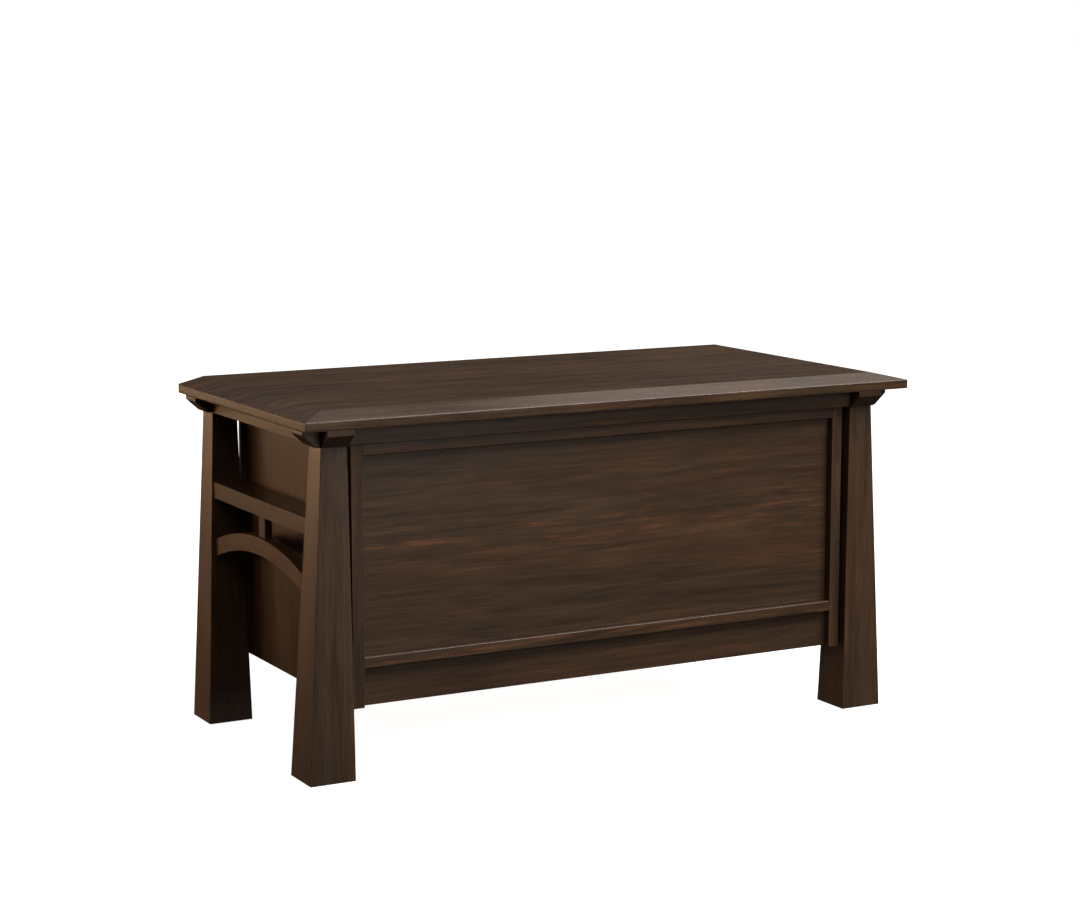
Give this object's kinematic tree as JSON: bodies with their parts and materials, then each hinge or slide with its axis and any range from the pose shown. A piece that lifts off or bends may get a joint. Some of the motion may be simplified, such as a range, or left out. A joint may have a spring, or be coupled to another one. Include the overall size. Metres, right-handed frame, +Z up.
{
  "type": "blanket chest",
  "caption": "Low wooden blanket chest on tapered legs, with a bevelled hinged lid, a recessed front panel and a shelf over an arched rail at each end.",
  "frame": {"origin": "middle of the lid's outline, at floor level under it", "axes": "+X to the right as seen from the front, along the chest's width; +Y from the front to the hinged back; +Z up"},
  "size_m": [1.219, 0.59, 0.636],
  "materials": {
    "stained_wood": "satin dark walnut-brown stain, open grain",
    "inside_wood": "bare, sanded softwood",
    "hinge_brass": "darkened satin brass",
    "screw_steel": "bronzed steel"
  },
  "bodies": {
    "chest": {"leg_front_left": "stained_wood", "leg_front_right": "stained_wood", "leg_back_left": "stained_wood", "leg_back_right": "stained_wood", "front_top_rail": "stained_wood", "back_top_rail": "stained_wood", "left_top_rail": "stained_wood", "right_top_rail": "stained_wood", "left_shelf": "stained_wood", "right_shelf": "stained_wood", "left_spindle": "stained_wood", "right_spindle": "stained_wood", "left_arch_rail": "stained_wood", "right_arch_rail": "stained_wood", "left_side_board": "stained_wood", "right_side_board": "stained_wood", "left_spacer": "stained_wood", "right_spacer": "stained_wood", "front_upper_rail": "stained_wood", "front_panel": "stained_wood", "front_ledge_rail": "stained_wood", "front_skirt": "stained_wood", "back_panel": "stained_wood", "bottom_panel": "inside_wood", "bottom_cleat_left": "inside_wood", "bottom_cleat_right": "inside_wood", "bottom_cleat_front": "inside_wood", "bottom_cleat_back": "inside_wood", "hinge_left_case_leaf": "hinge_brass", "hinge_left_pin": "hinge_brass", "hinge_centre_case_leaf": "hinge_brass", "hinge_centre_pin": "hinge_brass", "hinge_right_case_leaf": "hinge_brass", "hinge_right_pin": "hinge_brass", "hinge_case_screws": "screw_steel", "case_screws": "screw_steel", "back_panel_screws": "screw_steel", "cleat_screws": "screw_steel"},
    "lid": {"lid_panel": "stained_wood", "lid_batten_left": "stained_wood", "lid_batten_centre": "stained_wood", "lid_batten_right": "stained_wood", "hinge_left_lid_leaf": "hinge_brass", "hinge_centre_lid_leaf": "hinge_brass", "hinge_right_lid_leaf": "hinge_brass", "hinge_lid_screws": "screw_steel", "lid_batten_screws": "screw_steel"}
  },
  "joints": [
    {"name": "lid_hinge", "type": "hinge", "parent": "chest", "child": "lid", "pos_m": [-0.01, 0.2805, 0.608], "axis": [-1, 0, 0], "range_deg": [0, 105]}
  ]
}
